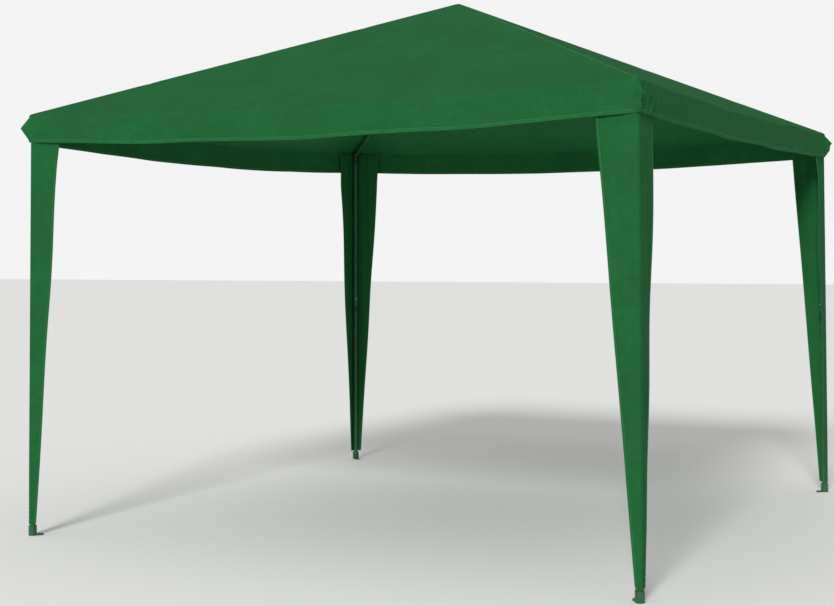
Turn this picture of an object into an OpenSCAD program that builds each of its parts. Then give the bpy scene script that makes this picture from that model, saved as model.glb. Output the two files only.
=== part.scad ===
// Pop up gazebo: a folding steel frame under a sewn cloth cover.
// Millimetres, +Z up, origin on the ground under the peak. The wide front faces -Y.
// Corners are numbered 1 front right, 2 rear right, 3 rear left, 4 front left.

/* [Plan and heights] */
// Distance between the axes of two neighbouring legs
leg_spacing = 3000; // [2400:10:3600]
// Height of the fold between roof and valance at a corner
eave_h = 1980; // [1800:5:2150]
// Height of the cloth at the peak
peak_h = 2610; // [2450:5:2800]

/* [Cover] */
// Thickness of the cloth
cloth_t = 1; // [0.6:0.1:2]
// Height of the valance below the eave fold
valance_h = 135; // [100:5:200]
// Drop of the eave at the middle of a side
eave_sag = 42; // [0:1:80]
// How far the valance hem stands out at a wave
hem_wave = 9; // [0:1:20]
// Waves of the valance hem over half a side
hem_waves = 4; // [1:1:8]
// How far the bunched fold at a corner stands out
ear_out = 46; // [10:1:70]
// Width of a leg flap at its top
flap_top_w = 186; // [120:1:260]
// Width of a leg flap at its gathered lower end
flap_low_w = 40; // [36:1:80]
// Height of a leg cover's lower end above the ground
cover_low_z = 100; // [80:5:400]
// How far a leg cover's top lies below the eave fold
cover_top_drop = 14; // [10:1:30]

/* [Legs] */
// Outside diameter of the upper leg tube
upper_d = 28; // [26:0.5:34]
// Wall of both leg tubes
leg_wall = 1.2; // [0.8:0.1:1.5]
// Height of the upper tube's lower end
upper_low_z = 960; // [800:10:1100]
// Length of the lower tube inside the upper one
leg_overlap = 300; // [200:10:450]
// Pitch of the height holes
hole_pitch = 50; // [30:1:60]
// Number of height holes
hole_count = 7; // [2:1:8]
// Height of the lowest hole above the upper tube's lower end
hole_rise = 70; // [50:1:120]
// Diameter of the snap button
button_d = 8; // [6:0.5:10]
// How far the snap button stands out of the upper tube
button_proud = 3.5; // [2:0.5:6]

/* [Leg fittings] */
// Wall of the leg head and of the leg collar
head_wall = 3; // [2:0.5:5]
// Height of the leg head below the elbow pin
head_drop = 70; // [40:1:120]
// Height of the collar around the upper tube's end
collar_h = 40; // [25:1:60]
// Distance from the leg axis to the elbow pin
elbow_reach = 34; // [32:1:50]
// Outside diameter of the foot
foot_d = 38; // [34:1:60]
// Height of the foot
foot_h = 45; // [30:1:80]
// Thickness of the foot's floor and of its peg lug
foot_floor = 6; // [3:0.5:10]
// Diameter of the peg hole
peg_d = 9; // [6:0.5:14]
// Distance from the leg axis to the peg hole
peg_reach = 38; // [34:1:60]

/* [Roof arms] */
// Outside diameter of the arm tubes
arm_d = 22; // [18:0.5:24]
// Wall of the arm tubes
arm_wall = 1.2; // [0.8:0.1:1.5]
// How far the arms' axis lies below the cloth's hip line
hip_drop = 28; // [26:1:50]
// Distance from the peak's axis to a hub pin
hub_pin_r = 62; // [60:1:90]
// Radius of the hub's disc
hub_r = 46; // [40:1:48]
// Diameter of all hinge pins
pin_d = 6; // [5:0.5:8]
// Thickness of a flattened arm end and of a knee tongue
tongue_t = 6; // [4:0.5:8]
// Thickness of a fork's cheek
cheek_t = 4; // [3:0.5:5]
// Height of the knee pin above the arms' axis
knee_rise = 14; // [13.5:0.5:16]
// Length of a knee sleeve
sleeve_len = 50; // [35:1:80]
// Wall of a knee sleeve
sleeve_wall = 2; // [1.5:0.25:2]

/* [Clearances] */
// Gap between pieces that rest against each other
seat_gap = 0.3; // [0.1:0.05:0.5]
// Radial clearance of a pin in its bore
pin_gap = 0.05; // [0.01:0.01:0.1]
// Radial clearance of a tube in its fitting
tube_gap = 0.1; // [0.05:0.05:0.3]

/* [Hidden] */
$fn = 48;
corners = [1 : 4];
cloth_col = "#235D32";
tube_col = "#1F4A2B";
fitting_col = "#1B2A20";
pin_col = "#A8ADA9";

// Plan of the legs and of the two cloth layers around them
leg_x = leg_spacing / 2;
leg_r = leg_x * sqrt(2);
head_r = upper_d / 2 + head_wall;
cover_in = leg_x + head_r + seat_gap;
cover_out = cover_in + cloth_t;
eave_x = cover_out + seat_gap + cloth_t;

// Roof planes: the drop for each millimetre away from the peak, square to a side
roof_slope = (peak_h - eave_h) / eave_x;
function cloth_z(m) = peak_h - roof_slope * m;
function hip_z(r) = cloth_z(r / sqrt(2));

// Arms: straight from hub pin to elbow pin, parallel to the hip line
arm_angle = atan(roof_slope / sqrt(2));
hub_pin_z = hip_z(hub_pin_r) - hip_drop;
elbow_r = leg_r - elbow_reach;
elbow_z = hip_z(elbow_r) - hip_drop;
arm_len = (elbow_r - hub_pin_r) / cos(arm_angle);
knee_x = arm_len / 2;
eye_r = pin_d / 2 + 7;
knee_eye_r = pin_d / 2 + 6;
knee_gap = knee_eye_r + 1;
cheek_in = tongue_t / 2 + seat_gap;
cheek_out = cheek_in + cheek_t;
pin_head_r = pin_d / 2 + 2;
pin_head_t = 2;
flat_len = eye_r + 12;
plug_len = 8;
sleeve_floor = 3;

// Leg stations
head_sag = 2.2 * eave_sag * head_r / (leg_x + head_r); // the cloth's sag beside the hip, over the head's edge
cloth_drop = cloth_t * (1 + roof_slope); // the cloth's inner face is set in as well as down
head_top = cloth_z(leg_x + head_r) - head_sag - cloth_drop - seat_gap;
head_cap_t = 4;
upper_top = head_top - head_cap_t;
upper_in_r = upper_d / 2 - leg_wall;
lower_r = upper_in_r - seat_gap;
lower_in_r = lower_r - leg_wall;
lower_top = upper_low_z + leg_overlap;
button_z = upper_low_z + hole_rise;
button_hole_r = button_d / 2 + seat_gap;
button_flange_r = button_d / 2 + 2;
button_flange_t = 2;
collar_lip = 12;
cap_tip_r = 6;
cap_base_r = hub_r - 2;
hub_top = hub_pin_z + 10;
hub_low = hub_pin_z - 16;

// Places

// The vertical plane of one arm: +X runs from the peak's axis out to the corner
module at_corner(i) {
    rotate([0, 0, 90 * (i - 1) - 45]) children();
}

// One corner with the sides along X and Y and the corner towards +X and +Y
module at_quarter(i) {
    rotate([0, 0, 90 * (i - 2)]) children();
}

// Along an arm from its hub pin: +X runs down the arm, +Z stands square to it
module on_arm(i) {
    at_corner(i) translate([hub_pin_r, 0, hub_pin_z]) rotate([0, arm_angle, 0]) children();
}

// On the axis of one leg, with +X pointing away from the peak
module on_leg(i) {
    at_corner(i) translate([leg_r, 0, 0]) children();
}

// Repeated shapes

// Cylinder along X from x0 to x1
module rod_x(x0, x1, r) {
    translate([x0, 0, 0]) rotate([0, 90, 0]) cylinder(h = x1 - x0, r = r);
}

// Cylinder across an arm, centred on y = 0
module rod_y(len, r) {
    rotate([90, 0, 0]) cylinder(h = len, r = r, center = true);
}

// Outline in X and Z made a plate between y0 and y1
module plate_xz(y0, y1) {
    translate([0, y1, 0]) rotate([90, 0, 0]) linear_extrude(y1 - y0) children();
}

// Both cheeks of a fork, from one outline
module cheeks() {
    plate_xz(cheek_in, cheek_out) children();
    plate_xz(-cheek_out, -cheek_in) children();
}

// Hinge pin with a flat head at both ends
module hinge_pin() {
    grip = 2 * (cheek_out + seat_gap);
    rod_y(grip + 2 * pin_head_t, pin_d / 2);
    for (s = [-1, 1])
        translate([0, s * (grip + pin_head_t) / 2, 0]) rod_y(pin_head_t, pin_head_r);
}

// Bore for a hinge pin
module pin_bore() {
    rod_y(4 * cheek_out, pin_d / 2 + pin_gap);
}

// Arm tube from its flattened, drilled end at x = 0 to its plain end at x = len
module arm_tube(len) {
    difference() {
        union() {
            rod_x(flat_len - 4, len, arm_d / 2);
            plate_xz(-tongue_t / 2, tongue_t / 2) {
                circle(eye_r);
                translate([0, -eye_r]) square([flat_len, 2 * eye_r]);
            }
        }
        rod_x(flat_len + plug_len, len + 1, arm_d / 2 - arm_wall);
        pin_bore();
    }
}

// Sleeve that closes an arm tube's plain end, with its mouth towards -X and the knee pin at the origin
module knee_sleeve() {
    translate([-knee_gap - sleeve_len, 0, -knee_rise]) difference() {
        rod_x(0, sleeve_len, arm_d / 2 + sleeve_wall);
        rod_x(-1, sleeve_len - sleeve_floor, arm_d / 2 + tube_gap);
    }
}

// Outline of a knee plate, from the sleeve's end to the eye around the pin
module knee_outline() {
    foot_half = arm_d / 2 - 2;
    root_x = -knee_gap - sleeve_floor + 0.5;
    lean = 45;
    circle(knee_eye_r);
    polygon([
        [root_x, -knee_rise - foot_half],
        [-knee_gap, -knee_rise - foot_half],
        knee_eye_r * [cos(lean), -sin(lean)],
        knee_eye_r * [-cos(lean), sin(lean)],
        [root_x, -knee_rise + foot_half]
    ]);
}

// Hub

module peak_hub() {
    color(fitting_col) difference() {
        union() {
            translate([0, 0, hub_low]) cylinder(h = hub_top - hub_low, r = hub_r);
            for (i = corners) at_corner(i) translate([0, 0, hub_pin_z]) cheeks() {
                translate([hub_pin_r, 0]) circle(eye_r);
                translate([hub_r - 12, -eye_r]) square([hub_pin_r - hub_r + 12, 2 * eye_r]);
            }
        }
        for (i = corners) at_corner(i) translate([hub_pin_r, 0, hub_pin_z]) pin_bore();
    }
}

// Domed cap on the hub that carries the cloth's peak
module peak_cap() {
    tip_z = cloth_z(cap_tip_r) - cloth_t - seat_gap;
    rim_z = hub_top + 4;
    color(fitting_col) rotate_extrude() polygon([
        [0, hub_top], [cap_base_r, hub_top], [cap_base_r, rim_z],
        [(cap_base_r + cap_tip_r) / 2, (rim_z + tip_z) / 2 + 1],
        [cap_tip_r, tip_z], [0, tip_z]
    ]);
}

module hub_pins() {
    color(pin_col) for (i = corners)
        at_corner(i) translate([hub_pin_r, 0, hub_pin_z]) hinge_pin();
}

// Roof arms

module inner_arm_tube(i) {
    color(tube_col) on_arm(i) arm_tube(knee_x - knee_gap - sleeve_floor);
}

module outer_arm_tube(i) {
    color(tube_col) on_arm(i) translate([arm_len, 0, 0]) rotate([0, 0, 180])
        arm_tube(knee_x - knee_gap - sleeve_floor);
}

module knee_fork(i) {
    color(fitting_col) on_arm(i) translate([knee_x, 0, knee_rise]) difference() {
        union() {
            knee_sleeve();
            cheeks() knee_outline();
        }
        pin_bore();
    }
}

module knee_tongue(i) {
    color(fitting_col) on_arm(i) translate([knee_x, 0, knee_rise]) rotate([0, 0, 180])
        difference() {
            union() {
                knee_sleeve();
                plate_xz(-tongue_t / 2, tongue_t / 2) knee_outline();
            }
            pin_bore();
        }
}

module knee_pin(i) {
    color(pin_col) on_arm(i) translate([knee_x, 0, knee_rise]) hinge_pin();
}

// Legs

// Capped sleeve on the leg's top with a fork for the elbow
module leg_head(i) {
    root_x = -upper_d / 2 - head_wall / 2;
    color(fitting_col) on_leg(i) difference() {
        union() {
            translate([0, 0, elbow_z - head_drop])
                cylinder(h = head_top - elbow_z + head_drop, r = head_r);
            translate([0, 0, elbow_z]) cheeks() {
                translate([-elbow_reach, 0]) circle(eye_r);
                translate([-elbow_reach, -eye_r]) square([elbow_reach + root_x, 2 * eye_r]);
            }
        }
        translate([0, 0, elbow_z - head_drop - 1])
            cylinder(h = upper_top - elbow_z + head_drop + 1, r = upper_d / 2 + tube_gap);
        translate([-elbow_reach, 0, elbow_z]) pin_bore();
    }
}

module elbow_pin(i) {
    color(pin_col) on_leg(i) translate([-elbow_reach, 0, elbow_z]) hinge_pin();
}

// Upper tube with its row of height holes on the side towards the peak
module upper_leg_tube(i) {
    color(tube_col) on_leg(i) difference() {
        translate([0, 0, upper_low_z]) cylinder(h = upper_top - upper_low_z, r = upper_d / 2);
        translate([0, 0, upper_low_z - 1])
            cylinder(h = upper_top - upper_low_z + 2, r = upper_in_r);
        for (k = [0 : hole_count - 1])
            translate([0, 0, button_z + k * hole_pitch]) rod_x(-upper_d, 0, button_hole_r);
    }
}

// Ring under the upper tube that guides the lower one
module leg_collar(i) {
    low = upper_low_z - collar_lip;
    color(fitting_col) on_leg(i) difference() {
        translate([0, 0, low]) cylinder(h = collar_h, r = head_r);
        translate([0, 0, upper_low_z]) cylinder(h = collar_h, r = upper_d / 2 + tube_gap);
        translate([0, 0, low - 1]) cylinder(h = collar_h, r = upper_in_r);
    }
}

module lower_leg_tube(i) {
    color(tube_col) on_leg(i) difference() {
        translate([0, 0, foot_floor]) cylinder(h = lower_top - foot_floor, r = lower_r);
        translate([0, 0, foot_floor - 1]) cylinder(h = lower_top, r = lower_in_r);
        translate([0, 0, button_z]) rod_x(-upper_d, 0, button_hole_r);
    }
}

// Cup on the lower tube's end with a lug and a hole for a ground peg
module foot(i) {
    lug_r = peg_d / 2 + 8;
    color(tube_col) on_leg(i) difference() {
        union() {
            cylinder(h = foot_h, r = foot_d / 2);
            translate([-peg_reach, 0, 0]) cylinder(h = foot_floor, r = lug_r);
            translate([-peg_reach, -lug_r, 0]) cube([peg_reach, 2 * lug_r, foot_floor]);
        }
        translate([0, 0, foot_floor]) cylinder(h = foot_h, r = lower_r + tube_gap);
        translate([-peg_reach, 0, -1]) cylinder(h = foot_floor + 2, r = peg_d / 2);
    }
}

// Spring button of the height lock, with its flange inside the lower tube
module snap_button(i) {
    tip_x = -upper_d / 2 - button_proud;
    flange_x = -sqrt(lower_in_r * lower_in_r - button_flange_r * button_flange_r) + seat_gap;
    color(pin_col) on_leg(i) translate([0, 0, button_z]) {
        rod_x(tip_x, flange_x, button_d / 2);
        rod_x(flange_x, flange_x + button_flange_t, button_flange_r);
    }
}

// Cover

// Closed sheet from two grids of points with the same rows and columns
module sheet(outer, inner) {
    rows = len(outer);
    cols = len(outer[0]);
    count = rows * cols;
    function at(r, c) = r * cols + c;
    points = concat([for (r = outer) each r], [for (r = inner) each r]);
    skin = [for (r = [0 : rows - 2], c = [0 : cols - 2]) each [
        [at(r, c), at(r, c + 1), at(r + 1, c + 1)],
        [at(r, c), at(r + 1, c + 1), at(r + 1, c)]
    ]];
    lining = [for (f = skin) [f[2] + count, f[1] + count, f[0] + count]];
    rim = concat(
        [for (c = [0 : cols - 1]) at(0, c)],
        [for (r = [1 : rows - 1]) at(r, cols - 1)],
        [for (c = [cols - 2 : -1 : 0]) at(rows - 1, c)],
        [for (r = [rows - 2 : -1 : 1]) at(r, 0)]
    );
    edge = [for (k = [0 : len(rim) - 1]) let (a = rim[k], b = rim[(k + 1) % len(rim)]) each [
        [b, a, a + count],
        [b, a + count, b + count]
    ]];
    polyhedron(points = points, faces = concat(skin, lining, edge));
}

// Places of the roof's columns from the middle of a side, 0, to the hip, 1
half_columns = [0, 0.16, 0.32, 0.48, 0.62, 0.74, 0.84, 0.92, 0.97, 1];
roof_columns = concat(
    [for (u = half_columns) u - 1],
    [for (k = [len(half_columns) - 2 : -1 : 0]) 1 - half_columns[k]]
);
roof_rows = 8;
valance_rows = 4;
peak_cut = 0.004;

// Point at distance m from the peak, square to the side, in column c
function plan_point(m, c) = c <= 0 ? [m, m * (1 + c)] : [m * (1 - c), m];
function column_u(c) = 1 - abs(c);
function sag(c, m) = eave_sag * (1 - pow(column_u(c), 2)) * pow(m / eave_x, 2);
function clear_mid(p) = [max(p[0], seat_gap), max(p[1], seat_gap)];

// The roof from the peak down to the eave fold
function roof_point(row, c, inset, drop) =
    let (share = peak_cut + (1 - peak_cut) * row / roof_rows)
    let (m = share * (eave_x - inset))
    let (p = clear_mid(plan_point(m, c)))
    [p[0], p[1], cloth_z(share * eave_x) - sag(c, share * eave_x) - drop];

// The valance from the eave fold to the hem, with waves along it and a bunched fold at the corner
function valance_point(row, c, inset) =
    let (down = row / valance_rows)
    let (wave = hem_wave * down * (1 - cos(360 * hem_waves * column_u(c))) / 2)
    let (p = clear_mid(plan_point(eave_x - inset, c)))
    let (side = c < 0 ? [1, 0] : c > 0 ? [0, 1] : [0, 0])
    let (ear = c == 0 ? ear_out * sin(180 * down) / sqrt(2) : 0)
    [
        p[0] + side[0] * wave + ear,
        p[1] + side[1] * wave + ear,
        cloth_z(eave_x) - sag(c, eave_x) - valance_h * down
    ];

function roof_grid(inset, drop) = concat(
    [for (r = [0 : roof_rows]) [for (c = roof_columns) roof_point(r, c, inset, drop)]],
    [for (r = [1 : valance_rows]) [for (c = roof_columns) valance_point(r, c, inset)]]
);

// One quarter of the roof with its half of two valances
module roof_quarter(i) {
    color(cloth_col) at_quarter(i) sheet(roof_grid(0, 0), roof_grid(cloth_t, cloth_t));
}

// L-shaped leg cover: a flap along each side, drawn in towards the leg's foot
cover_rows = 12;
module leg_cover(i) {
    top = eave_h - cover_top_drop;
    grid = function (face) [for (r = [0 : cover_rows])
        let (down = r / cover_rows)
        let (w = flap_top_w + (flap_low_w - flap_top_w) * down)
        let (z = top + (cover_low_z - top) * down)
        let (free = cover_out - w)
        [[face, free, z], [face, face, z], [free, face, z]]
    ];
    color(cloth_col) at_quarter(i) sheet(grid(cover_out), grid(cover_in));
}

peak_hub();
peak_cap();
hub_pins();
for (i = corners) {
    inner_arm_tube(i);
    knee_fork(i);
    knee_pin(i);
    outer_arm_tube(i);
    knee_tongue(i);
    leg_head(i);
    elbow_pin(i);
    upper_leg_tube(i);
    leg_collar(i);
    lower_leg_tube(i);
    foot(i);
    snap_button(i);
    leg_cover(i);
    roof_quarter(i);
}
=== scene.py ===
# %% [markdown]
# # Pop up gazebo
# A square garden shelter: a sewn cloth cover over a folding steel frame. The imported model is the
# fixed frame. It holds the tubes, hinges and feet, and each piece of cloth that is made here lies
# where its solid is, so nothing has to be fitted by eye.

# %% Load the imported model
import math

import bmesh
import bpy
import numpy as np
from mathutils import Matrix, Vector


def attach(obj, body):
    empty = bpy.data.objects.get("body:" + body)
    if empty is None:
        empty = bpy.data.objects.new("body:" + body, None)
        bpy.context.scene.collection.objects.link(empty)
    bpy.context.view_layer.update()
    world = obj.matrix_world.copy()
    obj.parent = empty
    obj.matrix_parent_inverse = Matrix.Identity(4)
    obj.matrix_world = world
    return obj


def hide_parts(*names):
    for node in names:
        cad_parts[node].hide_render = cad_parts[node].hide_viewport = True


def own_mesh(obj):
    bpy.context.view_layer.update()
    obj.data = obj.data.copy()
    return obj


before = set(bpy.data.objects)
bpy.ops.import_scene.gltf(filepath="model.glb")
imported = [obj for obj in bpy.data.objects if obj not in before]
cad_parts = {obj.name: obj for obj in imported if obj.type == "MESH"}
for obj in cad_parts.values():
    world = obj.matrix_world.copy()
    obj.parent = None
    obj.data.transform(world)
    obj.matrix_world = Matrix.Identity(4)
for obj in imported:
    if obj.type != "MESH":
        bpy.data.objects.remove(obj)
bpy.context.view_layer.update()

# %% [markdown]
# ## Camera
# The view was worked out from the nine corners that the photograph shows: the peak, four eave
# corners and four feet. The small upward shift keeps the legs nearly parallel, as a level camera
# does.

# %% Camera
IMAGE_WIDTH_PX = 834
FOCAL_PX = 1506.4
SENSOR_MM = 36
CAMERA_AT = Vector((3.4565, -6.9426, 1.3077))
CAMERA_YAW, CAMERA_PITCH, CAMERA_ROLL = 0.4900, 0.0350, -0.0028
SHIFT_UP_PX = -100

camera_data = bpy.data.cameras.new("camera")
camera_data.sensor_width = SENSOR_MM
camera_data.lens = FOCAL_PX * SENSOR_MM / IMAGE_WIDTH_PX
camera_data.shift_y = SHIFT_UP_PX / IMAGE_WIDTH_PX
camera = bpy.data.objects.new("camera", camera_data)
bpy.context.scene.collection.objects.link(camera)
ahead = Vector((
    -math.sin(CAMERA_YAW) * math.cos(CAMERA_PITCH),
    math.cos(CAMERA_YAW) * math.cos(CAMERA_PITCH),
    math.sin(CAMERA_PITCH),
))
camera.location = CAMERA_AT
level_view = ahead.to_track_quat("-Z", "Y").to_matrix()
camera.rotation_euler = (level_view @ Matrix.Rotation(CAMERA_ROLL, 3, "Z")).to_euler()
bpy.context.scene.camera = camera
print("lens:", round(camera_data.lens, 1), "mm")

# %% [markdown]
# ## Nodes and colours
# One function adds a node, sets its properties and gives its inputs a value or a link. One more
# turns a hex colour, as a paint chart gives it, into the linear numbers that shaders work with.

# %% Helpers for nodes and colours
def add(tree, kind, inputs=None, **settings):
    node = tree.nodes.new(kind)
    for name, value in settings.items():
        setattr(node, name, value)
    for name, value in (inputs or {}).items():
        if isinstance(value, bpy.types.NodeSocket):
            tree.links.new(value, node.inputs[name])
        else:
            node.inputs[name].default_value = value
    return node


def linear(hex_colour):
    parts = [int(hex_colour[k:k + 2], 16) / 255 for k in (1, 3, 5)]
    bent = [c / 12.92 if c <= 0.04045 else ((c + 0.055) / 1.055) ** 2.4 for c in parts]
    return (*bent, 1.0)


# %% [markdown]
# ## Floor and light
# A plain pale floor and a white surround. A wide lamp shines down on the roof. The main lamp
# stands high in front, a little to the right, so the front is bright, the right side is darker
# and the inside is darkest.

# %% Floor and light
FLOOR_HALF = 60.0
FLOOR_DROP = 0.001

floor_mesh = bpy.data.meshes.new("floor")
floor_corners = [(-FLOOR_HALF, -FLOOR_HALF), (FLOOR_HALF, -FLOOR_HALF), (FLOOR_HALF, FLOOR_HALF),
                 (-FLOOR_HALF, FLOOR_HALF)]
floor_mesh.from_pydata([(x, y, -FLOOR_DROP) for x, y in floor_corners], [], [(0, 1, 2, 3)])
floor = bpy.data.objects.new("floor", floor_mesh)
bpy.context.scene.collection.objects.link(floor)
floor_material = bpy.data.materials.new("pale_floor")
floor_material.use_nodes = True
floor_shader = floor_material.node_tree.nodes["Principled BSDF"]
floor_shader.inputs["Base Color"].default_value = linear("#F8F8F6")
floor_shader.inputs["Roughness"].default_value = 0.9
floor_mesh.materials.append(floor_material)

SURROUND_LIGHT, SURROUND_SEEN = 0.27, 0.90

world = bpy.data.worlds.new("studio")
world.use_nodes = True
sky = world.node_tree
seen = add(sky, "ShaderNodeLightPath").outputs["Is Camera Ray"]
level = add(sky, "ShaderNodeMapRange", {
    "Value": seen, "To Min": SURROUND_LIGHT, "To Max": SURROUND_SEEN})
surround = sky.nodes["Background"]
surround.inputs["Color"].default_value = linear("#FFFFFF")
sky.links.new(level.outputs["Result"], surround.inputs["Strength"])
bpy.context.scene.world = world


def soft_lamp(name, towards, spread_degrees, strength):
    """A far, wide lamp: the same light over the whole floor, with soft shadows."""
    data = bpy.data.lights.new(name, "SUN")
    data.angle, data.energy = math.radians(spread_degrees), strength
    lamp = bpy.data.objects.new(name, data)
    lamp.rotation_euler = Vector(towards).to_track_quat("-Z", "Y").to_euler()
    bpy.context.scene.collection.objects.link(lamp)


soft_lamp("top_lamp", (0.10, 0.15, -0.96), 70, 0.66)
soft_lamp("front_lamp", (-0.19, 0.84, -0.49), 14, 2.20)
bpy.context.scene.view_settings.view_transform = "Standard"

# %% [markdown]
# ## Cloth
# The cover is woven polyester with a thin proofing coat: threads about 1 mm apart, a dull satin
# face with a little sheen, and a green that varies softly where the cloth was folded in its bag.
# The threads are drawn 4 mm apart, because finer ones would not show. The pattern follows each
# piece's own UV map, in metres.

# %% Cloth and thread
THREAD_M, TWIST_M = 0.004, 0.0016
WAVE_PERIOD = 2 * math.pi / 20  # metres between a wave texture's bands at scale 1


def set_ramp(band, *stops):
    """Stops of a colour ramp, each a position and a hex colour, in order."""
    while len(band.elements) < len(stops):
        band.elements.new(1.0)
    for element, (position, colour) in zip(band.elements, stops):
        element.position, element.color = position, linear(colour)


def proofed_polyester(name, dark, middle, light, weave_depth):
    material = bpy.data.materials.new(name)
    material.use_nodes = True
    tree = material.node_tree
    shader = tree.nodes["Principled BSDF"]
    at = add(tree, "ShaderNodeUVMap", uv_map="cloth").outputs["UV"]
    cloudy = add(tree, "ShaderNodeTexNoise", {
        "Vector": at, "Scale": 3.2, "Detail": 3.0, "Roughness": 0.6}).outputs["Fac"]
    mottled = add(tree, "ShaderNodeTexNoise", {
        "Vector": at, "Scale": 26.0, "Detail": 4.0, "Roughness": 0.65}).outputs["Fac"]
    both = add(tree, "ShaderNodeMath", {0: cloudy, 1: mottled}, operation="ADD")
    half = add(tree, "ShaderNodeMath", {0: both.outputs[0], 1: 0.5}, operation="MULTIPLY")
    tint = add(tree, "ShaderNodeValToRGB", {"Fac": half.outputs[0]})
    set_ramp(tint.color_ramp, (0.32, dark), (0.5, middle), (0.68, light))
    tree.links.new(tint.outputs["Color"], shader.inputs["Base Color"])
    threads = [
        add(tree, "ShaderNodeTexWave", {
            "Vector": at, "Scale": WAVE_PERIOD / THREAD_M, "Distortion": 0.4},
            bands_direction=way).outputs["Fac"]
        for way in ("X", "Y")
    ]
    weave = add(tree, "ShaderNodeMath", {0: threads[0], 1: threads[1]}, operation="MAXIMUM")
    crumple = add(tree, "ShaderNodeTexNoise", {
        "Vector": at, "Scale": 42.0, "Detail": 3.0, "Distortion": 0.6})
    creased = add(tree, "ShaderNodeBump", {
        "Height": crumple.outputs["Fac"], "Strength": 0.35, "Distance": 0.004})
    woven = add(tree, "ShaderNodeBump", {
        "Height": weave.outputs[0], "Strength": 0.5, "Distance": weave_depth,
        "Normal": creased.outputs["Normal"]})
    tree.links.new(woven.outputs["Normal"], shader.inputs["Normal"])
    gloss = add(tree, "ShaderNodeMapRange", {"Value": mottled, "To Min": 0.58, "To Max": 0.74})
    tree.links.new(gloss.outputs["Result"], shader.inputs["Roughness"])
    shader.inputs["Sheen Weight"].default_value = 0.04
    shader.inputs["Sheen Roughness"].default_value = 0.5
    shader.inputs["Sheen Tint"].default_value = linear(light)
    shader.inputs["Specular IOR Level"].default_value = 0.06
    return material


cover_cloth = proofed_polyester(
    "green_proofed_polyester", "#1B5A2D", "#1E6032", "#226737", weave_depth=0.0007)
# The hem's greens are lighter than the cover's: a painted highlight where the raised hem catches
# light.
hem_cloth_painted_highlight = proofed_polyester(
    "green_hem_painted_highlight", "#1E5E32", "#226537", "#276C3D", weave_depth=0.0005)
seam_cloth = proofed_polyester(
    "green_seam_tape", "#236739", "#297040", "#307948", weave_depth=0.0005)


def sewing_thread(name, dark, light):
    """Spun polyester thread: dull, with fine slanting bands of painted shade and highlight for its
    twisted plies.
    """
    material = bpy.data.materials.new(name)
    material.use_nodes = True
    tree = material.node_tree
    shader = tree.nodes["Principled BSDF"]
    at = add(tree, "ShaderNodeTexCoord").outputs["Object"]
    painted_twist_shade = add(tree, "ShaderNodeTexWave", {
        "Vector": at, "Scale": WAVE_PERIOD / TWIST_M}, bands_direction="DIAGONAL")
    shade = add(tree, "ShaderNodeValToRGB", {"Fac": painted_twist_shade.outputs["Fac"]})
    set_ramp(shade.color_ramp, (0.0, dark), (1.0, light))
    tree.links.new(shade.outputs["Color"], shader.inputs["Base Color"])
    shader.inputs["Roughness"].default_value = 0.75
    return material


# Dark and light greens of the painted shade and highlight on the thread's twisted plies.
green_thread = sewing_thread("green_polyester_thread", "#2C6B3C", "#3C8453")

# %% [markdown]
# ## The shape of the cover
# Each side has its own frame: `out` points away from the peak and `along` runs round the gazebo.
# A point of the roof has a distance from the peak square to its side, and a place along that
# side. The planes fall evenly from the peak, sag a little between the corners, and keep faint
# lines where the cloth lay folded.

# %% Sizes and side frames
EAVE = 1.5196  # the eave fold, from the middle
PEAK_Z, EAVE_Z = 2.610, 1.980
SLOPE = (PEAK_Z - EAVE_Z) / EAVE
STRETCH = math.hypot(1, SLOPE)  # length on the slope for each metre of plan
EAVE_SAG = {1: 0.042, 2: 0.022, 3: 0.042, 4: 0.042}
VALANCE = 0.129
CLOTH = 0.0012
SIDES = {1: ((0, -1), (1, 0)), 2: ((1, 0), (0, 1)), 3: ((0, 1), (-1, 0)), 4: ((-1, 0), (0, -1))}
SIDE_NAMES = {1: "front", 2: "right", 3: "rear", 4: "left"}
CORNERS = (1, 2, 3, 4)
HALVES = [(side, half) for side in SIDES for half in (1, -1)]
UV_APART = 2.0  # metres between the patterns of two sides


def corner_of(side, half):
    """The corner at a half's end: side 1 runs from corner 4 to corner 1, and so on round."""
    return side if half > 0 else (side - 2) % 4 + 1


def sides_of(corner):
    """The two halves that meet at a corner."""
    return (corner, 1), (corner % 4 + 1, -1)


def placed(side, out, along, z):
    """Points in the gazebo's frame, from a side's own distances."""
    (nx, ny), (tx, ty) = SIDES[side]
    out, along, z = np.broadcast_arrays(out, along, z)
    return np.stack([nx * out + tx * along, ny * out + ty * along, z], axis=-1)


def wave(turns, phase=0.0):
    """A sine wave after a number of turns, from a phase in radians."""
    return np.sin(2 * math.pi * turns + phase)


def ramp(distance, length):
    """From 0 to 1 over a length, and level outside it."""
    return np.clip(distance / length, 0, 1)


# %% Roof surface
FOLD_LINES = (0.36, 0.74, 1.12)
FOLD_DEPTH, FOLD_WIDTH, FOLDS_FROM = 0.0012, 0.018, 0.3
RIPPLE, RIPPLE_ALONG, RIPPLE_OUT, RIPPLE_FROM = 0.0032, 0.86, 0.94, 0.6


def roof_z(side, out, along):
    """Height of the roof: u is 0 at the middle of the side and 1 on the hip."""
    u = np.clip(np.abs(along) / np.maximum(out, 1e-6), 0, 1)
    loose = (1 - u ** 4) * ramp(out, RIPPLE_FROM) ** 2
    ripple = wave(along / RIPPLE_ALONG, 1.9 * side) * wave(out / RIPPLE_OUT, 0.7 * side)
    folds = sum(np.exp(-((out - line) / FOLD_WIDTH) ** 2) for line in FOLD_LINES)
    sag = EAVE_SAG[side] * (1 - u ** 2) * (out / EAVE) ** 2
    flat = PEAK_Z - SLOPE * out - sag
    return flat + loose * RIPPLE * ripple - ramp(out, FOLDS_FROM) * FOLD_DEPTH * folds


# %% [markdown]
# ## The shape of the valance
# The valance hangs from the eave fold and its hem waves a little. Near the corners slanting
# wrinkles pull at it, and between them it is crumpled. On the right side the hem is dragged
# inwards beside the rear corner.

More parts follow.
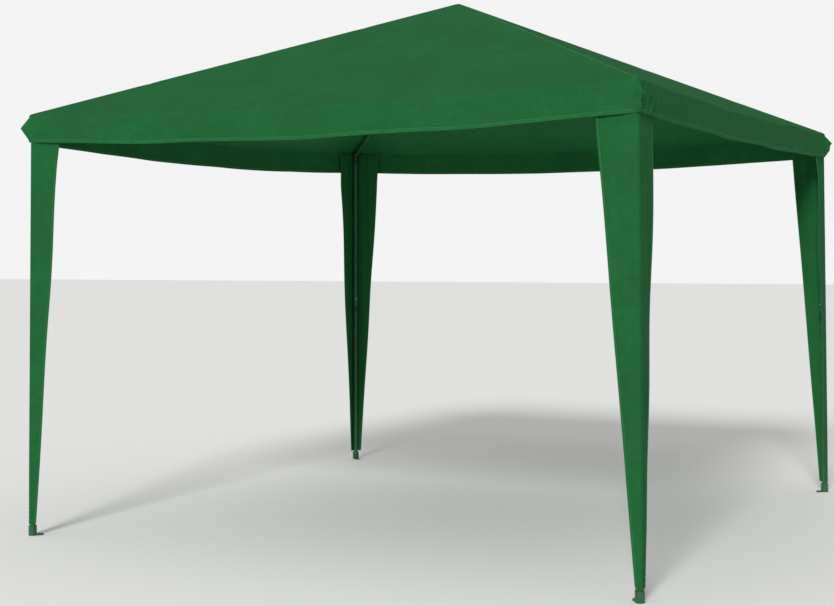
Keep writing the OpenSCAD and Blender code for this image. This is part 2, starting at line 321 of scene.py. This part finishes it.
# %% Valance surface
HEM_WAVE, HEM_WAVES = {1: 0.009, 2: 0.004, 3: 0.009, 4: 0.009}, 4
WRINKLE = {  # depth by side and half
    (1, 1): 0.0012, (1, -1): 0.0015, (2, -1): 0.0075, (2, 1): 0.0060,
    (3, 1): 0.0028, (3, -1): 0.0030, (4, 1): 0.0026, (4, -1): 0.0024,
}
WRINKLE_FROM, WRINKLE_REACH, WRINKLE_PITCHES = 0.03, 0.24, (0.052, 0.083)
# Depth of the dents at a side's start and end, and their pitches along the side and down it
CRUMPLE = {1: (0.0006, 0.0006), 2: (0.0034, 0.0016), 3: (0.0010, 0.0010), 4: (0.0010, 0.0010)}
LONG_DENTS, CROSS_DENTS, SMALL_DENTS = (0.173, 0.21), (0.37, 0.11), (0.066, 0.06)
CRUMPLE_FROM = 0.12
# The dragged hem: its depth by side, where it starts, and the slope of the line it hangs below
DRAG, DRAG_FROM, DRAG_SLOPE = {2: 0.014}, 0.10, 0.34
DRAG_HEIGHT, DRAG_START, DRAG_REACH, DRAG_FLATTENS = 0.05, 0.1, 0.55, 0.004
HOLD_SPAN = 0.85  # share of a half turn: the folds are flat at the eave and deepest halfway down


def wrinkle_out(side, along, near, down):
    """Slanting wrinkles of two pitches, which die away from the corner."""
    fine, coarse = WRINKLE_PITCHES
    slant = wave((near + 0.75 * down) / fine, side)
    slant = slant + 0.6 * wave((0.7 * near + 1.3 * down) / coarse, 2.1 * side)
    size = np.where(along >= 0, WRINKLE[side, 1], WRINKLE[side, -1])
    size = size * np.exp(-near / WRINKLE_REACH) * (1 - np.exp(-(near / WRINKLE_FROM) ** 2))
    return size * (1 + slant) / 2


def crumple_out(side, along, near, down):
    """Uneven dents, whose depth changes from the side's start to its end."""
    loose = wave(along / LONG_DENTS[0] + down / LONG_DENTS[1], side)
    loose = loose * wave(down / CROSS_DENTS[1] - along / CROSS_DENTS[0])
    uneven = 2.2 * np.sin(5.1 * along) + 3.0 * side
    loose = loose + wave(along / SMALL_DENTS[0] + down / SMALL_DENTS[1], uneven)
    start, end = CRUMPLE[side]
    size = start + (end - start) * (along / EAVE + 1) / 2
    return size * (1 + loose / 2) * ramp(near, CRUMPLE_FROM)


def drag_in(side, along, near, down):
    """The hem pulled inwards below a line that slants up from the corner."""
    beyond = near - DRAG_FROM
    below = down - VALANCE + DRAG_SLOPE * beyond
    size = np.where(along >= 0, DRAG.get(side, 0), 0) * np.exp(-(beyond / DRAG_REACH) ** 2)
    return size * ramp(below, DRAG_HEIGHT) ** 1.5 * ramp(beyond, DRAG_START)


def valance_out(side, along, down):
    """How far the valance stands outside the eave fold, at a depth below the fold in metres."""
    share = down / VALANCE
    near = EAVE - np.abs(along)
    hem = HEM_WAVE[side] * share * (1 - np.cos(2 * math.pi * HEM_WAVES * np.abs(along) / EAVE)) / 2
    hold = np.sin(math.pi * np.clip(share, 0, 1) * HOLD_SPAN)
    folds = wrinkle_out(side, along, near, down) + crumple_out(side, along, near, down)
    drag = drag_in(side, along, near, down)
    return hem * (1 - ramp(drag, DRAG_FLATTENS)) - drag + hold * folds


# %% Ears
EAR_OUT = {1: 0.034, 2: 0.046, 3: 0.042, 4: 0.040}
EAR_WIDTH, EAR_START = 0.017, 0.02
# Outline of each ear: the share of the way down the valance, and the share of its size there
EAR_SHAPE = {
    1: ((0.10, 0.0), (0.42, 1.0), (0.60, 0.50), (0.70, 0.38), (0.83, 0.78), (1.0, 0.08)),
    2: ((0.08, 0.0), (0.41, 1.0), (0.50, 0.74), (0.72, 0.66), (0.88, 0.28), (1.0, 0.0)),
    3: ((0.08, 0.0), (0.46, 1.0), (0.66, 0.50), (0.90, 0.20), (1.0, 0.0)),
    4: ((0.10, 0.0), (0.50, 1.0), (0.93, 0.04), (1.0, 0.0)),
}


def ear(corner, near, down):
    """How far the bunched fold at a corner stands out: a tip near the middle, some with a notch."""
    shares, sizes = zip(*EAR_SHAPE[corner])
    outline = EAR_OUT[corner] * np.interp(down / VALANCE, shares, sizes)
    return outline * np.exp(-(near / EAR_WIDTH) ** 2) * ramp(down, EAR_START)


# %% [markdown]
# ## Sheets from grids
# A sheet is first a grid of points, with rows that run down and columns that run along its side,
# so that every face points outwards. The grid carries a UV map in metres. Solidify then gives the
# cloth its thickness on the inside, and edges sharper than 50 degrees stay sharp.

# %% Helpers for sheets
SHARP_EDGE = math.radians(50)
MEET_WITHIN, FLAT_WITHIN = 2e-5, 1e-6


def faces_of(rows, columns, first):
    """Four-sided faces of a grid whose points are numbered from first."""
    index = first + np.arange(rows * columns).reshape(rows, columns)
    quads = np.stack([index[:-1, :-1], index[1:, :-1], index[1:, 1:], index[:-1, 1:]], axis=-1)
    return quads.reshape(-1, 4)


def give_uvs(mesh, uvs):
    """The UV map that the cloth's pattern follows, from one UV for each point."""
    layer = mesh.uv_layers.new(name="cloth")
    point_of = np.empty(len(mesh.loops), dtype=np.int32)
    mesh.loops.foreach_get("vertex_index", point_of)
    layer.data.foreach_set("uv", uvs[point_of].astype(np.float32).ravel())


def make_smooth(mesh):
    mesh.polygons.foreach_set("use_smooth", [True] * len(mesh.polygons))
    mesh.set_sharp_from_angle(angle=SHARP_EDGE)


def mesh_from_grids(name, grids, material):
    """One mesh from several grids, each a pair of points and UVs; points that meet become one."""
    points, uvs, quads, first = [], [], [], 0
    for place, uv in grids:
        rows, columns = place.shape[:2]
        points.append(place.reshape(-1, 3))
        uvs.append(uv.reshape(-1, 2))
        quads.append(faces_of(rows, columns, first))
        first += rows * columns
    points, uvs, quads = np.concatenate(points), np.concatenate(uvs), np.concatenate(quads)
    mesh = bpy.data.meshes.new(name)
    mesh.from_pydata(points.tolist(), [], quads.tolist())
    give_uvs(mesh, uvs)
    shape = bmesh.new()
    shape.from_mesh(mesh)
    bmesh.ops.remove_doubles(shape, verts=shape.verts, dist=MEET_WITHIN)
    bmesh.ops.dissolve_degenerate(shape, edges=shape.edges, dist=FLAT_WITHIN)
    shape.to_mesh(mesh)
    shape.free()
    mesh.materials.append(material)
    return mesh


def as_object(name, mesh):
    made = bpy.data.objects.new(name, mesh)
    bpy.context.scene.collection.objects.link(made)
    return made


def settle(made):
    """Make an object's modifiers into plain mesh."""
    bpy.context.view_layer.update()
    shown = made.evaluated_get(bpy.context.evaluated_depsgraph_get())
    done = bpy.data.meshes.new_from_object(shown)
    made.modifiers.clear()
    made.data = done


def sheet_piece(name, grids):
    """A piece of the cover with the cloth's thickness on the inside."""
    piece = as_object(name, mesh_from_grids(name, grids, cover_cloth))
    wall = piece.modifiers.new("thickness", "SOLIDIFY")
    wall.thickness, wall.offset = CLOTH, -1
    settle(piece)
    make_smooth(piece.data)
    return piece


def spread(low, high, step):
    """Even values from low to high, about a step apart."""
    return np.linspace(low, high, max(2, int(round((high - low) / step)) + 1))


# %% [markdown]
# ## Roof panels
# When the frame folds, the roof arms drop between the legs and the cloth gathers along them. So
# the roof is cut where the frame bends: a patch on the hub, halves of each panel on the inner
# arms, halves on the outer arms, and a rim with the valance that stays with the legs. At rest all
# edges meet and the cover is one sheet.

# %% Cut lines of the roof
PATCH = 0.20  # half the width of the patch on the hub
RIM = 0.22  # width of the rim that stays with the legs
RIM_AT = EAVE - RIM
KNEE_AT = EAVE / 2
CELL = 0.013  # size of a grid's cells
PATCH_CELL, PATCH_COLUMNS = 0.008, 33
SHARE_STEP, DOWN_STEP = 0.0125, CELL / 1.1


def roof_grid(side, out, along):
    """Points and UVs of a roof grid, from arrays of the same shape."""
    uv = np.stack([along + UV_APART * side, (EAVE - out) * STRETCH], axis=-1)
    return placed(side, out, along, roof_z(side, out, along)), uv


def dress_roof_half(piece, side, half, body):
    corner = corner_of(side, half)
    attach(piece, body)
    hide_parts(f"roof_quarter_{corner}")
    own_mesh(piece)


# %% Patch on the hub
grids = []
for side in SIDES:
    out = spread(0, PATCH, PATCH_CELL)[:, None]
    share = np.linspace(-1, 1, PATCH_COLUMNS)[None, :]
    grids.append(roof_grid(side, *np.broadcast_arrays(out, out * share)))
peak_patch = sheet_piece("roof_peak_patch", grids)
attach(peak_patch, "hub")
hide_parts(*[f"roof_quarter_{i}" for i in CORNERS])

# %% Panel halves on the arms
# The knee's cut runs square to the hip, where out * (1 + slope squared) + along stays the same.
KNEE_SUM = KNEE_AT * (2 + SLOPE ** 2)
turn_u = KNEE_SUM / RIM_AT - 1 - SLOPE ** 2  # where that cut meets the rim
outer_shares = spread(turn_u, 1, SHARE_STEP)
inner_shares = np.concatenate([spread(0, turn_u, SHARE_STEP)[:-1], outer_shares])


def roof_half(name, side, half, shares, start, stop):
    """Half a panel between two lines, each a function of the share u = along / out."""
    u = (shares if half > 0 else shares[::-1])[None, :]
    down = spread(0, 1, DOWN_STEP)[:, None]
    out = start(u) + down * (stop(u) - start(u))
    return sheet_piece(name, [roof_grid(side, out, half * u * out)])


def patch_line(u):
    return np.full_like(u, PATCH)


def knee_line(u):
    """Square to the hip on the sloping panel, until it meets the rim."""
    return np.minimum(KNEE_SUM / (1 + SLOPE ** 2 + u), RIM_AT)


def rim_line(u):
    return np.full_like(u, RIM_AT)


for side, half in HALVES:
    corner = corner_of(side, half)
    where = f"{SIDE_NAMES[side]}_{corner}"
    inner = roof_half(f"roof_inner_{where}", side, half, inner_shares, patch_line, knee_line)
    dress_roof_half(inner, side, half, f"inner_arm_{corner}")
    outer = roof_half(f"roof_outer_{where}", side, half, outer_shares, knee_line, rim_line)
    dress_roof_half(outer, side, half, f"outer_arm_{corner}")

# %% [markdown]
# ## Rim, valance and corners
# The last part of the roof, the rounded eave fold and the valance run in one strip round the
# gazebo. A strip's half stays with the leg at its end. At each corner a square of roof with the
# ends of two valances sits fixed over the leg.
# There the spare cloth bunches into an ear.

# %% Profile of the eave
EAVE_ROUND = 0.007
FINE_FROM = 0.112  # depth below which the rows lie closer, for the hem
ROOF_STEP, VALANCE_STEP, HEM_STEP = 0.018, 0.0065, 0.0058
ROOF_ROWS = spread(RIM_AT, EAVE - EAVE_ROUND, ROOF_STEP)
BEND_ROWS = np.array([0.2, 0.4, 0.6, 0.8, 1.0])
VALANCE_ROWS = np.concatenate([
    spread(EAVE_ROUND, FINE_FROM, VALANCE_STEP)[1:], spread(FINE_FROM, VALANCE, HEM_STEP)[1:]])


def eave_rows(side, along_at):
    """Rows from the rim's cut down to the hem. along_at gives the columns at a distance out."""
    places, uvs = [], []

    def row(out, along, z, depth):
        places.append(placed(side, out, along, z))
        uvs.append(np.stack([along + UV_APART * side, np.full_like(along, depth)], axis=-1))

    for out in ROOF_ROWS:
        along = along_at(out)
        row(out, along, roof_z(side, out, along), (EAVE - out) * STRETCH)
    along = along_at(EAVE)
    fold = roof_z(side, EAVE, along)
    near = along_at(EAVE - EAVE_ROUND)
    start = roof_z(side, EAVE - EAVE_ROUND, near)
    for t in BEND_ROWS:
        a, b, c = (1 - t) ** 2, 2 * t * (1 - t), t ** 2
        down = EAVE_ROUND * c
        out = a * (EAVE - EAVE_ROUND) + (b + c) * EAVE + valance_out(side, along, down)
        z = a * start + b * fold + c * (fold - EAVE_ROUND)
        row(out, a * near + (b + c) * along, z, -down)
    for down in VALANCE_ROWS:
        row(EAVE + valance_out(side, along, down), along, fold - down, -down)
    return np.array(places), np.array(uvs)


def strip_columns(half):
    return np.sort(half * spread(0, RIM_AT, CELL))


def gather_strip(piece, side, half):
    """Gives the strip, or a piece sewn to it, its own copy of its mesh."""
    placed(side, 0, 1, 0)
    placed(side, EAVE, half * RIM_AT, EAVE_Z)
    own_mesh(piece)


rim_strips = {}
for side, half in HALVES:
    corner = corner_of(side, half)
    columns = strip_columns(half)
    grid = eave_rows(side, lambda out: columns)
    strip = sheet_piece(f"valance_{SIDE_NAMES[side]}_{corner}", [grid])
    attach(strip, f"upper_leg_{corner}")
    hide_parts(f"roof_quarter_{corner}")
    gather_strip(strip, side, half)
    rim_strips[side, half] = strip
print("valance strips:", len(rim_strips))

# %% Corners with their ears
CORNER_COLUMNS = np.concatenate([np.linspace(0, 0.6, 13)[:-1], np.linspace(0.6, 1, 28)])
corner_pieces = {}
for corner in CORNERS:
    grids = []
    for side, half in sides_of(corner):
        shares = CORNER_COLUMNS if half > 0 else CORNER_COLUMNS[::-1]
        place, uv = eave_rows(side, lambda out: half * (RIM_AT + shares * (out - RIM_AT)))
        (nx, ny), (tx, ty) = SIDES[side]
        outward = np.array([nx + half * tx, ny + half * ty, 0]) / math.sqrt(2)
        down = np.maximum(0, -uv[..., 1])
        near = EAVE - np.abs(uv[..., 0] - UV_APART * side)
        grids.append((place + ear(corner, near, down)[..., None] * outward, uv))
    piece = sheet_piece(f"valance_corner_{corner}", grids)
    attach(piece, f"upper_leg_{corner}")
    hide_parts(f"roof_quarter_{corner}")
    corner_pieces[corner] = piece

# %% [markdown]
# ## Leg covers
# Each leg wears an L of cloth: one flap along each side, wide at the valance and drawn in to the
# leg's foot. It rounds the pole at the corner, hangs in soft upright folds, and its lower end is
# gathered on the tube.

# %% Leg cover surface
COVER_AT = 1.5183  # the cover's outer face, from the middle
COVER_TOP, COVER_LOW = 1.966, 0.052
COVER_LONG = COVER_TOP - COVER_LOW
FLAP_TOP, FLAP_LOW = 0.186, {1: 0.030, 2: 0.048, 3: 0.046, 4: 0.050}
POLE_ROUND = 0.0172
END_ROUND, END_IN = 0.012, 0.003
FLAP_FOLDS, FOLD_PITCH = {1: 0.0030, 2: 0.0042, 3: 0.0040, 4: 0.0034}, 0.062
FREE_FROM = 0.05  # distance from the pole at which a flap folds freely
FLUTTER, FLUTTER_PITCH, FLUTTER_AT = 0.006, 0.92, 0.18
CROSS, CROSS_PITCH, CROSS_REACH = 0.0012, 0.021, 0.16
TUCK, TUCK_LOW, TUCK_HEIGHT, TUCK_FROM = 0.003, 1.74, 0.10, 0.02
FINE_BELOW = 0.34  # height below which the rows lie closer, for the cross wrinkles
COVER_ROWS = np.concatenate([
    np.linspace(COVER_TOP, FINE_BELOW, 104)[:-1], np.linspace(FINE_BELOW, COVER_LOW, 36)])
FLAP_COLUMNS = np.linspace(0, 1, 22)
BEND_COLUMNS = np.linspace(0, math.pi / 2, 11)[1:-1]
COVER_UV, BEND_UV = 9, 0.014  # place of the cover's pattern, and half the bend's length on it


def flap_width(corner, z):
    share = (COVER_TOP - z) / COVER_LONG
    end = ramp(COVER_LOW + END_ROUND - z, END_ROUND)
    return FLAP_TOP + (FLAP_LOW[corner] - FLAP_TOP) * share - END_IN * end ** 2


def cover_grid(corner):
    """The L sheet in the corner's own frame, where both sides run along the axes, then placed."""
    z = COVER_ROWS[:, None]
    turn = BEND_COLUMNS[None, :]
    away = (1 - FLAP_COLUMNS[None, :]) * (flap_width(corner, z) - POLE_ROUND)
    low = np.exp(-((z - COVER_LOW) / CROSS_REACH) ** 2)

    def lift(away, phase):
        """Folds of a flap, none at the pole, with cross wrinkles near the gathered end."""
        free = ramp(away, FREE_FROM) ** 1.5
        upright = wave(away / FOLD_PITCH, 1.3 * np.sin(2.2 * z + phase) + phase)
        flutter = wave(z / FLUTTER_PITCH, phase) * (away / FLUTTER_AT) ** 2
        tucked = ramp(z - TUCK_LOW, TUCK_HEIGHT)
        cross = wave(z / CROSS_PITCH, 60 * away + phase) * low
        folds = -FLAP_FOLDS[corner] * free * (1 + upright) / 2 + FLUTTER * flutter * (1 - tucked)
        return folds - TUCK * tucked * ramp(away, TUCK_FROM) - CROSS * (1 + cross) * low

    centre = COVER_AT - POLE_ROUND
    radius = POLE_ROUND - CROSS * low * (1 + wave(z / CROSS_PITCH, 0.6 + corner))
    back = away[:, ::-1]
    first = COVER_AT + lift(away, 0.6 + corner)
    second = COVER_AT + lift(back, 2.4 + 1.7 * corner)
    x = np.concatenate([first, centre + radius * np.cos(turn), centre - back], axis=1)
    y = np.concatenate([centre - away, centre + radius * np.sin(turn), second], axis=1)
    around = np.concatenate([
        -away - BEND_UV, (turn - math.pi / 4) * POLE_ROUND + 0 * z, back + BEND_UV], axis=1)
    zs = np.broadcast_to(z, x.shape)
    return placed(corner, x, y, zs), np.stack([around + COVER_UV + corner, zs], axis=-1)


def gather_cover(piece):
    """Gives the cover, or a piece sewn to it, its own copy of its mesh."""
    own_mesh(piece)


# %% Leg covers
leg_covers, cover_points = {}, {}
for corner in CORNERS:
    grid = cover_grid(corner)
    cover = sheet_piece(f"leg_cover_cloth_{corner}", [grid])
    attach(cover, f"upper_leg_{corner}")
    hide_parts(f"leg_cover_{corner}")
    gather_cover(cover)
    leg_covers[corner], cover_points[corner] = cover, grid[0]

# %% [markdown]
# ## Hems and seam tape
# A hem is the cloth's edge folded over and sewn down, so it is a thicker band; its lighter green is
# a painted highlight for the light that the raised edge catches. A tape covers the seam along each
# hip. Both are closed strips: a small cross-section carried along the edge, with its points taken
# from the cloth's own surface so that the band lies on it everywhere.

# %% Helper for bands
PROUD = 0.0009  # how far a hem or tape stands off the cloth
RING_UV = 0.004


def band_mesh(name, runs, material):
    """Closed strips from runs of cross-sections, each an array of sections by points by three."""
    points, faces, uvs = [], [], []
    first = 0
    for run in runs:
        count, ring = run.shape[:2]
        points.append(run.reshape(-1, 3))
        steps = np.linalg.norm(np.diff(run[:, 0], axis=0), axis=1)
        length = np.concatenate([[0], np.cumsum(steps)])
        across = RING_UV * np.arange(ring)
        uvs.append(np.stack(np.meshgrid(length, across, indexing="ij"), -1).reshape(-1, 2))
        index = first + np.arange(count * ring).reshape(count, ring)
        beside = np.roll(index, -1, axis=1)
        quads = np.stack([index[:-1], beside[:-1], beside[1:], index[1:]], -1)
        faces += quads.reshape(-1, 4).tolist()
        faces += [index[0, ::-1].tolist(), index[-1].tolist()]
        first += count * ring
    points, uvs = np.concatenate(points), np.concatenate(uvs)
    mesh = bpy.data.meshes.new(name)
    mesh.from_pydata(points.tolist(), [], faces)
    give_uvs(mesh, uvs)
    shape = bmesh.new()
    shape.from_mesh(mesh)
    bmesh.ops.recalc_face_normals(shape, faces=shape.faces)
    shape.to_mesh(mesh)
    shape.free()
    make_smooth(mesh)
    mesh.materials.append(material)
    return mesh


def band_piece(name, runs, body, material):
    piece = as_object(name, band_mesh(name, runs, material))
    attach(piece, body)
    return piece


# %% [markdown]
# ## Stitches
# Thousands of equal stitches follow the hems and seams, so Geometry Nodes lay them: the seam's
# line becomes a curve, is cut into equal steps, and a short length of thread is set on each step
# along the line. A real stitch is about 3 mm; these are 8 mm, so that the rows show in the
# picture.

# %% Stitch tree
STITCH_STEP, STITCH_LONG, STITCH_RADIUS = 0.0115, 0.008, 0.0008

stitch_tree = bpy.data.node_groups.new("stitch_row", "GeometryNodeTree")
for label, kind in (("Line", "NodeSocketGeometry"), ("Step", "NodeSocketFloat"),
                    ("Length", "NodeSocketFloat"), ("Radius", "NodeSocketFloat"),
                    ("Thread", "NodeSocketMaterial")):
    stitch_tree.interface.new_socket(name=label, in_out="INPUT", socket_type=kind)
stitch_tree.interface.new_socket(name="Stitches", in_out="OUTPUT", socket_type="NodeSocketGeometry")
given = add(stitch_tree, "NodeGroupInput").outputs
seam_curve = add(stitch_tree, "GeometryNodeMeshToCurve", {"Mesh": given["Line"]})
steps = add(stitch_tree, "GeometryNodeResampleCurve", {
    "Curve": seam_curve.outputs["Curve"], "Length": given["Step"]}, mode="LENGTH")
stitch = add(stitch_tree, "GeometryNodeMeshCylinder", {
    "Vertices": 6, "Radius": given["Radius"], "Depth": given["Length"]})
tangent = add(stitch_tree, "GeometryNodeInputTangent").outputs["Tangent"]
lying = add(stitch_tree, "FunctionNodeAlignRotationToVector", {"Vector": tangent}, axis="Z")
laid = add(stitch_tree, "GeometryNodeInstanceOnPoints", {
    "Points": steps.outputs["Curve"], "Instance": stitch.outputs["Mesh"],
    "Rotation": lying.outputs["Rotation"]})
real = add(stitch_tree, "GeometryNodeRealizeInstances", {"Geometry": laid.outputs["Instances"]})
coloured = add(stitch_tree, "GeometryNodeSetMaterial", {
    "Geometry": real.outputs["Geometry"], "Material": given["Thread"]})
add(stitch_tree, "NodeGroupOutput", {"Stitches": coloured.outputs["Geometry"]})
sockets = stitch_tree.interface.items_tree
SOCKET = {item.name: item.identifier for item in sockets if item.in_out == "INPUT"}


def stitch_piece(name, lines, body):
    """A piece of stitches along several lines of points."""
    points, edges = [], []
    for line in lines:
        start = len(points)
        points += np.asarray(line).tolist()
        edges += [(k, k + 1) for k in range(start, len(points) - 1)]
    mesh = bpy.data.meshes.new(name)
    mesh.from_pydata(points, edges, [])
    piece = as_object(name, mesh)
    rows = piece.modifiers.new("stitches", "NODES")
    rows.node_group = stitch_tree
    for label, value in (("Step", STITCH_STEP), ("Length", STITCH_LONG),
                         ("Radius", STITCH_RADIUS), ("Thread", green_thread)):
        rows[SOCKET[label]] = value
    settle(piece)
    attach(piece, body)
    return piece


# %% Valance hems
HEM = 0.015
HEM_DEPTHS = np.array([VALANCE + 0.0012, VALANCE - HEM / 2, VALANCE - HEM])
HEM_STITCH = VALANCE - HEM + 0.003


def on_valance(side, along, down, lift):
    """Points on the valance at a depth, lifted off its outer face."""
    fold = roof_z(side, EAVE, along)
    return placed(side, EAVE + valance_out(side, along, down) + lift, along, fold - down)


def hem_run(side, along):
    """Cross-sections of the hem on a stretch of valance, outer face first."""
    outer = [on_valance(side, along, d, PROUD) for d in HEM_DEPTHS]
    inner = [on_valance(side, along, d, -CLOTH - PROUD) for d in HEM_DEPTHS[::-1]]
    return np.stack(outer + inner, axis=1)


def hem_pieces(kind, where, ends, body):
    """The hem and its stitches on stretches of valance, each a side and its columns."""
    hem = band_piece(f"{kind}_hem_{where}", [hem_run(*end) for end in ends], body, hem_cloth_painted_highlight)
    lines = [on_valance(*end, HEM_STITCH, PROUD) for end in ends]
    return [hem, stitch_piece(f"{kind}_stitches_{where}", lines, body)]


for (side, half), strip in rim_strips.items():
    corner = corner_of(side, half)
    where = f"{SIDE_NAMES[side]}_{corner}"
    ends = [(side, strip_columns(half))]
    sewn = hem_pieces("valance", where, ends, f"upper_leg_{corner}")
    for piece in sewn:
        gather_strip(piece, side, half)

# %% Corner hems
corner_along = RIM_AT + CORNER_COLUMNS * RIM
for corner, piece in corner_pieces.items():
    (first, _), (second, _) = sides_of(corner)
    ends = [(first, corner_along), (second, -corner_along[::-1])]
    sewn = hem_pieces("corner", corner, ends, f"upper_leg_{corner}")

# %% Leg cover hems
FLAP_HEM = 0.010
FLAP_DEPTHS = np.array([-0.001, FLAP_HEM / 2, FLAP_HEM])
FLAP_STITCH = 0.7 * FLAP_HEM


def flap_hem(side, edge, inside):
    """Cross-sections of a flap's hem and its line of stitches, from two columns of the cover."""
    face = placed(side, 1, 0, 0)
    inward = inside - edge
    inward = inward - (inward @ face)[:, None] * face
    inward /= np.linalg.norm(inward, axis=1, keepdims=True)
    outer = [edge + d * inward + PROUD * face for d in FLAP_DEPTHS]
    inner = [edge + d * inward - (CLOTH + PROUD) * face for d in FLAP_DEPTHS[::-1]]
    return np.stack(outer + inner, axis=1), edge + FLAP_STITCH * inward + PROUD * face


for corner, cover in leg_covers.items():
    (first, _), (second, _) = sides_of(corner)
    points = cover_points[corner]
    runs, lines = zip(flap_hem(first, points[:, 0], points[:, 1]),
                      flap_hem(second, points[:, -1], points[:, -2]))
    body = f"upper_leg_{corner}"
    sewn = [band_piece(f"leg_cover_hem_{corner}", runs, body, hem_cloth_painted_highlight),
            stitch_piece(f"leg_cover_stitches_{corner}", lines, body)]
    for piece in sewn:
        gather_cover(piece)

# %% Hip seams
TAPE_HALF, TAPE_STITCH, TAPE_SUNK = 0.008, 0.0055, 0.0003
TAPE_START, TAPE_CELL = 0.015, 0.02


def hip_run(corner, low, high):
    """Cross-sections of the tape along one hip, from one side's plane over to the other's."""
    out = spread(low, high, TAPE_CELL)
    first, second = sides_of(corner)

    def point(end, away, lift):
        side, half = end
        along = half * (out - away)
        return placed(side, out, along, roof_z(side, out, along) + lift)

    path = ((first, TAPE_HALF), (first, 0), (second, TAPE_HALF))
    over = [point(end, away, PROUD) for end, away in path]
    under = [point(end, away, -TAPE_SUNK) for end, away in path[::-1]]
    lines = [point(end, TAPE_STITCH, PROUD) for end in (first, second)]
    return np.stack(over + under, axis=1), lines


stretches = [("hub", "peak", [(i, TAPE_START, PATCH) for i in CORNERS])]
for i in CORNERS:
    stretches.append((f"inner_arm_{i}", f"inner_{i}", [(i, PATCH, KNEE_AT)]))
    stretches.append((f"outer_arm_{i}", f"outer_{i}", [(i, KNEE_AT, RIM_AT)]))
    stretches.append((f"upper_leg_{i}", f"corner_{i}", [(i, RIM_AT, EAVE - EAVE_ROUND)]))
for body, where, hips in stretches:
    made = [hip_run(*hip) for hip in hips]
    band_piece(f"hip_tape_{where}", [run for run, _ in made], body, seam_cloth)
    stitch_piece(f"hip_stitches_{where}", [line for _, lines in made for line in lines], body)

# %% [markdown]
# ## Frame finishes
# The tubes are steel with a green powder coat, which is smooth with a slight orange peel. The
# fittings are moulded nylon, dull and faintly grained. The pins and buttons are zinc-plated
# steel.

# %% Frame finishes
def surface(name, colours, noise_mm, rough, bump_mm, metallic=0.0):
    """A finish with its colour, gloss and fine relief from one noise of a real size."""
    material = bpy.data.materials.new(name)
    material.use_nodes = True
    tree = material.node_tree
    shader = tree.nodes["Principled BSDF"]
    at = add(tree, "ShaderNodeTexCoord").outputs["Object"]
    grain = add(tree, "ShaderNodeTexNoise", {"Vector": at, "Scale": 1000 / noise_mm, "Detail": 3.0})
    patches = add(tree, "ShaderNodeTexNoise", {"Vector": at, "Scale": 14.0, "Detail": 2.0})
    tint = add(tree, "ShaderNodeValToRGB", {"Fac": patches.outputs["Fac"]})
    set_ramp(tint.color_ramp, (0.35, colours[0]), (0.65, colours[1]))
    tree.links.new(tint.outputs["Color"], shader.inputs["Base Color"])
    gloss = add(tree, "ShaderNodeMapRange", {
        "Value": grain.outputs["Fac"], "To Min": rough - 0.06, "To Max": rough + 0.08})
    tree.links.new(gloss.outputs["Result"], shader.inputs["Roughness"])
    relief = add(tree, "ShaderNodeBump", {
        "Height": grain.outputs["Fac"], "Strength": 0.4, "Distance": bump_mm / 1000})
    tree.links.new(relief.outputs["Normal"], shader.inputs["Normal"])
    shader.inputs["Metallic"].default_value = metallic
    return material


FINISHES = {
    "tube": surface("green_powder_coat", ("#1D5430", "#236239"), 3.0, 0.40, 0.12),
    "fitting": surface("moulded_green_nylon", ("#16301F", "#1C3A26"), 1.5, 0.55, 0.10),
    "steel": surface("zinc_plated_steel", ("#A7ABA8", "#C2C5C1"), 0.8, 0.34, 0.03, metallic=1.0),
}
CAD_FINISH = {
    "tube": ("inner_arm_tube", "outer_arm_tube", "upper_leg_tube", "lower_leg_tube", "foot"),
    "fitting": ("peak_hub", "peak_cap", "knee_fork", "knee_tongue", "leg_head", "leg_collar"),
    "steel": ("hub_pins", "knee_pin", "elbow_pin", "snap_button"),
}
dressed = 0
for finish, kinds in CAD_FINISH.items():
    for name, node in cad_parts.items():
        if name.startswith(kinds):
            node.data.materials.clear()
            node.data.materials.append(FINISHES[finish])
            dressed += 1
print("frame nodes with a finish:", dressed)
